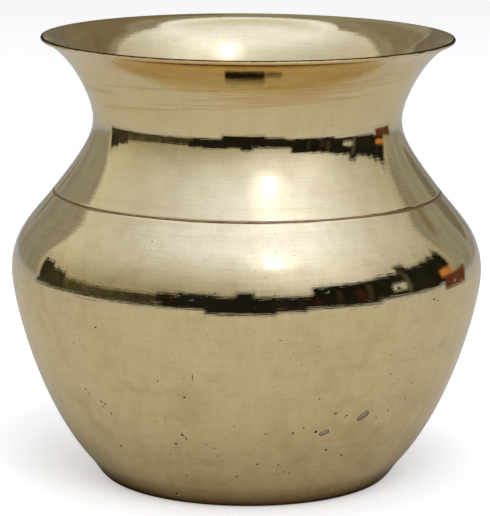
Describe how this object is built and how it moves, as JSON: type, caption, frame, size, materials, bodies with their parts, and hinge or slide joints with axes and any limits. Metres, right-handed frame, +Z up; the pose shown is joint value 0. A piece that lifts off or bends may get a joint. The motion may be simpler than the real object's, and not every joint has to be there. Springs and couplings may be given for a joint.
{
  "type": "kalash pot",
  "caption": "Round-bellied brass water pot with a waisted neck, a wide flared mouth and a brazed lap seam at the shoulder.",
  "frame": {"origin": "centre of the foot, on the surface that the pot stands on", "axes": "+Z up along the pot's turning axis; X and Y are equivalent, and the two plugged flaws face -Y and a little +X"},
  "size_m": [0.1163, 0.1162, 0.1096],
  "materials": {
    "polished_brass": "lathe-polished, fine turning lines",
    "cast_brass": "turned and polished casting with dark pores",
    "braze": "copper-brown brazing alloy, turned flush",
    "solder": "dull soft solder"
  },
  "bodies": {
    "root": {"upper_shell": "polished_brass", "lower_bowl": "cast_brass", "seam_braze": "braze", "blowhole_solder": "solder"}
  },
  "joints": []
}
